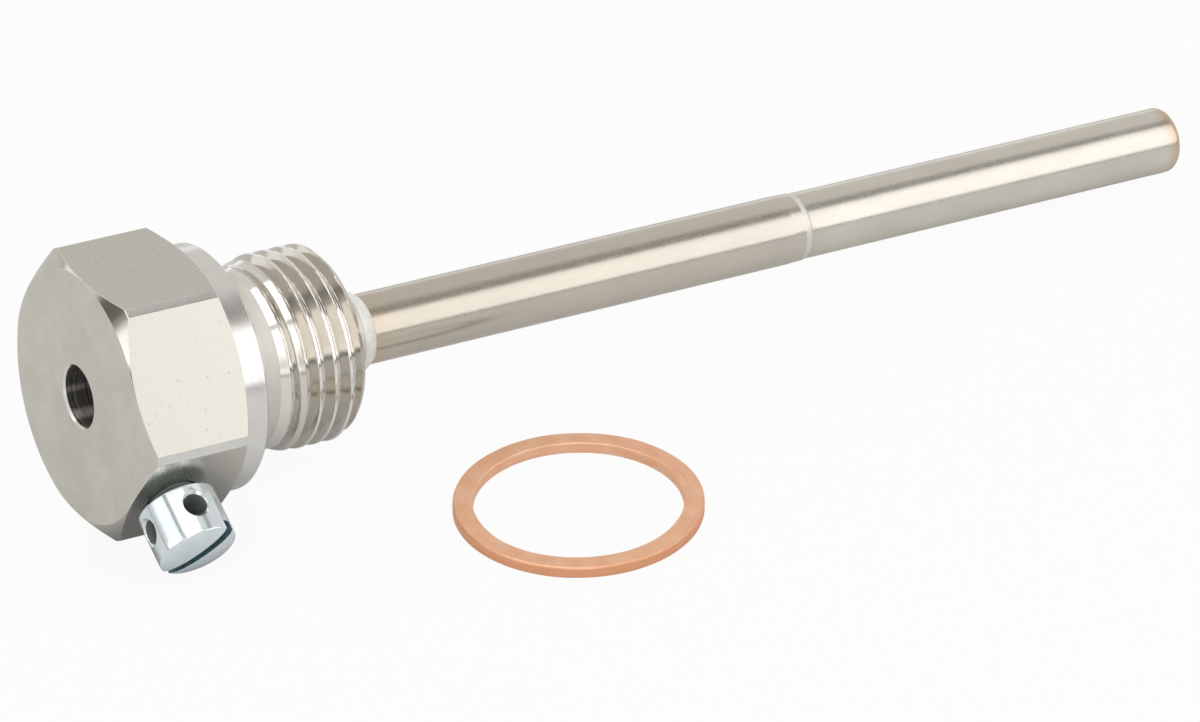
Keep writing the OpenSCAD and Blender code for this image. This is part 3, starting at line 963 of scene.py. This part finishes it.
def slot_cutter():
    """Screwdriver slot whose edges are bevelled along the whole outline of the head."""
    right = cap_outline()[1:]
    outline = [Vector((r, z)) for r, z in right] + [Vector((-r, z)) for r, z in reversed(right[:-1])]
    last = len(outline) - 1
    bevel, clear = 0.05, 0.08
    bm = bmesh.new()
    sides = []
    for side in (1, -1):
        rows = []
        for inward, wide in ((-clear, bevel + clear), (bevel, 0.0)):
            row = []
            for i, p in enumerate(outline):
                along = outline[min(i + 1, last)] - outline[max(i - 1, 0)]
                q = p + Vector((-along.y, along.x)).normalized() * inward
                if i in (0, last):
                    q.y = SLOT_FLOOR
                row.append(bm.verts.new((q.x, side * (SLOT_HALF + wide), q.y)))
            rows.append(row)
        for i in range(last):
            bm.faces.new((rows[0][i], rows[0][i + 1], rows[1][i + 1], rows[1][i]))
        bm.faces.new(rows[1])
        sides.append(rows)
    (outer_a, inner_a), (outer_b, inner_b) = sides
    for i in range(last):
        bm.faces.new((outer_a[i], outer_a[i + 1], outer_b[i + 1], outer_b[i]))
    bm.faces.new((outer_a[0], inner_a[0], inner_a[-1], outer_a[-1],
                  outer_b[-1], inner_b[-1], inner_b[0], outer_b[0]))
    cutter = finished_mesh("slot", bm)
    cutter.data.transform(Matrix.Rotation(math.radians(SLOT_ANGLE), 4, "Z"))
    return cutter


def cross_hole_cutter(turn):
    """Hole right across the head, bevelled where it comes out."""
    mouth, flare = 3.85, 0.6
    half = [(HOLE_R, mouth), (HOLE_R + flare, mouth + flare), (0, mouth + flare)]
    profile = [(r, -z) for r, z in reversed(half)] + half
    cutter = turned("cross_hole", profile, 56, closed=False)
    cutter.data.transform(Matrix.Translation((0, 0, HOLE_H)) @ Matrix.Rotation(math.radians(turn), 4, "Z")
                          @ Matrix.Rotation(math.pi / 2, 4, "Y"))
    return cutter


def screw_region(centre, normal):
    """Plated on the outside of the head, with the painted-shade finish on the shank and inside the holes and the
    slot.
    """
    if centre.z < CAP_START - 0.01:
        return DARK
    r = math.hypot(centre.x, centre.y)
    outward = (normal.x * centre.x + normal.y * centre.y) / max(r, 1e-6)
    on_wall = r > CAP_R - 0.35 and outward > 0.3
    on_end = normal.z > 0.5 and centre.z > CAP_EDGE - 0.1
    on_underside = centre.z < CAP_START + 0.5 and normal.z < -0.5
    return PLATED if on_wall or on_end or on_underside else DARK


def clamping_screw(finishes, thread):
    """Threaded shank and capstan head with two cross holes and a slot."""
    shank = soft([
        (0, SHANK_START, 0),
        (SHANK_R - 0.5, SHANK_START, 0.1),
        (SHANK_R, SHANK_START + 0.5, 0.1),
        (SHANK_R, SHANK_START + 0.9, 0),
    ])
    shank += [(SHANK_R, z) for z in spread(SHANK_START + 0.95, CAP_START - 0.12, 200)]
    head = soft([(SHANK_R, CAP_START, 0.0), (CAP_R, CAP_START, 0.14), (CAP_R, SLOT_FLOOR - 0.3, 0)])
    screw = turned("clamping_screw", shank + head + cap_outline()[1:], 128, closed=False)
    thread.apply(screw, Crest_Radius=SHANK_R, Depth=SHANK_GROOVE, Pitch=SHANK_PITCH,
                 Flank_Slope=1 / math.tan(math.radians(SHANK_FLANK)), Rounding=0.12,
                 Start_Height=SHANK_START - SHANK_PITCH, End_Height=CAP_START - 0.3,
                 Start_Angle=0.0, Sink_Turns=0.1, Material=finishes[PLATED])
    cut_away(screw, [cross_hole_cutter(0), cross_hole_cutter(90), slot_cutter()])
    paint(screw, finishes, screw_region)
    hand_over(screw, ON_SCREW, "clamp_screw", "clamp_screw", crease=32)


def sealing_ring(finish):
    """Flat ring, slightly wavy and worn, that lies beside the stem."""
    ring = turned("sealing_ring_skin", soft([
        (RING_BORE_R, RING_THICK * 0.5, 0),
        (RING_BORE_R, 0, 0.16),
        (RING_R, 0, 0.22),
        (RING_R, RING_THICK, 0.24),
        (RING_BORE_R, RING_THICK, 0.16),
        (RING_BORE_R, RING_THICK * 0.55, 0),
    ], steps=5), 192)
    for vertex in ring.data.vertices:
        x, y, z = vertex.co
        swell = noise.noise(Vector((x * 0.22, y * 0.22, z * 0.5))) * 0.05
        r = math.hypot(x, y)
        edge = 1 if r > (RING_BORE_R + RING_R) / 2 else -1
        scale = (r + edge * swell * 0.6 - 0.02 * edge) / r
        lift = (swell - 0.03) * (z > RING_THICK * 0.5)
        vertex.co = (x * scale, y * scale, min(max(z + lift, 0), RING_THICK))
    paint(ring, [finish])
    centre = ring_centre()
    place = Matrix.Translation(Vector((centre.x, centre.y, FLOOR_Z)) / MM)
    hand_over(ring, place, "pocket", "sealing_ring", crease=60)
    ring.visible_glossy = False


# ---------------------------------------------------------------- studio

def camera():
    """Looks down at the head and along the stem, from far off through a long lens."""
    data = bpy.data.cameras.new("camera")
    data.lens, data.sensor_width = LENS, SENSOR
    data.clip_start, data.clip_end = 0.05, 50
    obj = bpy.data.objects.new("camera", data)
    bpy.context.scene.collection.objects.link(obj)
    forward, up = LOOK.normalized(), LOOK_UP
    up = (up - forward * up.dot(forward)).normalized()
    right = forward.cross(up)
    obj.matrix_world = Matrix((
        (right.x, up.x, -forward.x, LOOK_FROM.x),
        (right.y, up.y, -forward.y, LOOK_FROM.y),
        (right.z, up.z, -forward.z, LOOK_FROM.z),
        (0, 0, 0, 1)))
    bpy.context.scene.camera = obj


def floor():
    """Pale surface with a painted shadow beside the head, which shows bright to the camera."""
    bm = bmesh.new()
    bmesh.ops.create_grid(bm, x_segments=8, y_segments=8, size=4.0)
    obj = finished_mesh("floor", bm)
    obj.data.transform(Matrix.Translation((0, 0, FLOOR_Z)))
    if obj.data.polygons[0].normal.z < 0:
        obj.data.flip_normals()
    material = bpy.data.materials.new("pale_floor")
    material.use_nodes = True
    tree = material.node_tree
    shader = tree.nodes["Principled BSDF"]
    # Painted shadow: the floor's colour darkens in a spot beside the head
    place = wired(tree, "TexCoord").outputs["Object"]
    place = wired(tree, "VectorMath", place, PAINTED_SHADOW_STRETCH, operation="MULTIPLY").outputs[0]
    away = wired(tree, "VectorMath", place, PAINTED_SHADOW_CENTRE, operation="DISTANCE").outputs["Value"]
    paleness = wired(tree, "MapRange", away, *PAINTED_SHADOW_RADII, *PAINTED_SHADOW_SHADES, interpolation_type="SMOOTHSTEP")
    tree.links.new(paleness.outputs[0], shader.inputs["Base Color"])
    shader.inputs["Roughness"].default_value = 0.9
    shader.inputs["Specular IOR Level"].default_value = 0.1
    path = wired(tree, "LightPath").outputs
    bright = wired(tree, "Math", path["Is Camera Ray"], SEEN_GLOW, operation="MULTIPLY").outputs[0]
    for ray, amount in (("Is Glossy Ray", MIRRORED_GLOW), ("Is Transmission Ray", THROUGH_GLOW)):
        bright = wired(tree, "Math", path[ray], amount, bright, operation="MULTIPLY_ADD").outputs[0]
    glow = wired(tree, "Emission").outputs[0]
    mix = wired(tree, "MixShader", bright, shader.outputs[0], glow)
    tree.links.new(mix.outputs[0], tree.nodes["Material Output"].inputs["Surface"])
    obj.data.materials.append(material)


def pointing(azimuth, elevation):
    """Direction for an azimuth and an elevation in degrees."""
    a, e = math.radians(azimuth), math.radians(elevation)
    return Vector((math.cos(e) * math.cos(a), math.cos(e) * math.sin(a), math.sin(e)))


def dark_gap(tree, way, shade, azimuth, elevation, half_width, half_height, level):
    """Darkens an oval of the room's wall, softly at its edge."""
    a, e = math.radians(azimuth), math.radians(elevation)
    towards = pointing(azimuth, elevation)
    across = Vector((-math.sin(a), math.cos(a), 0)) / math.sin(math.radians(half_width))
    upward = Vector((-math.sin(e) * math.cos(a), -math.sin(e) * math.sin(a), math.cos(e)))
    upward /= math.sin(math.radians(half_height))
    right, above, ahead = (wired(tree, "VectorMath", way, axis, operation="DOT_PRODUCT").outputs["Value"]
                           for axis in (across, upward, towards))
    flat = wired(tree, "CombineXYZ", right, above).outputs[0]
    far = wired(tree, "VectorMath", flat, operation="LENGTH").outputs["Value"]
    inside = wired(tree, "MapRange", far, 0.6, 1.4, 1.0, 0.0, interpolation_type="SMOOTHSTEP").outputs[0]
    ahead = wired(tree, "Math", ahead, 0.0, operation="GREATER_THAN").outputs[0]
    mix = wired(tree, "Mix", data_type="RGBA")
    both = wired(tree, "Math", inside, ahead, operation="MULTIPLY").outputs[0]
    tree.links.new(both, mix.inputs["Factor"])
    tree.links.new(shade, mix.inputs["A"])
    mix.inputs["B"].default_value = (level, level * 0.97, level * 0.92, 1)
    return mix.outputs["Result"]


def room():
    """White horizon, a warm grey room above it and the dark gaps beside the lamps."""
    world = bpy.data.worlds.new("room")
    bpy.context.scene.world = world
    world.use_nodes = True
    tree = world.node_tree
    back = tree.nodes["Background"]
    way = wired(tree, "TexCoord").outputs["Generated"]
    up = wired(tree, "SeparateXYZ", way).outputs[2]
    rise = wired(tree, "Math", up, operation="ARCSINE").outputs[0]
    height = wired(tree, "MapRange", rise, 0.0, math.pi / 2).outputs[0]
    ramp = wired(tree, "ValToRGB", height)
    white, wall = (1, 1, 1), (0.66, 0.645, 0.62)
    fill_ramp(ramp.color_ramp, ((0.0, white), (0.07, white), (0.13, wall), (1.0, wall)))
    shade = ramp.outputs[0]
    for gap in DARK_GAPS:
        shade = dark_gap(tree, way, shade, *gap)
    tree.links.new(shade, back.inputs["Color"])
    back.inputs["Strength"].default_value = 1.0


def softbox(name, azimuth, elevation, width, height, brightness, distance):
    """Soft rectangular lamp that faces the stem; width and height are angles in degrees."""
    data = bpy.data.lights.new(name, "AREA")
    data.shape = "RECTANGLE"
    data.size = 2 * distance * math.tan(math.radians(width / 2))
    data.size_y = 2 * distance * math.tan(math.radians(height / 2))
    data.energy = brightness * math.pi * data.size * data.size_y
    obj = bpy.data.objects.new(name, data)
    bpy.context.scene.collection.objects.link(obj)
    direction = pointing(azimuth, elevation)
    obj.location = LIT_POINT + direction * distance
    obj.rotation_euler = direction.to_track_quat("Z", "Y").to_euler()
    obj.visible_camera = False


def studio():
    """Floor, room and the four lamps."""
    floor()
    room()
    for lamp in SOFTBOXES:
        softbox(*lamp)
    bpy.context.scene.view_settings.view_transform = "Standard"


def build():
    """Camera, the seven pieces and the studio."""
    camera()
    zinc = [zinc_plate(), zinc_shadow()]
    body = [end_face_steel(), milled_steel(), polished_steel(), matte_steel(), thread_steel(), bore_steel()]
    tube = tube_steel()
    thread = thread_tree()
    head_body(body, thread)
    stem_tube(tube)
    tip_tube(tube)
    tip_plug(tube)
    weld_ring(weld_metal(), ripple_tree())
    clamping_screw(zinc, thread)
    sealing_ring(copper())
    studio()


build()
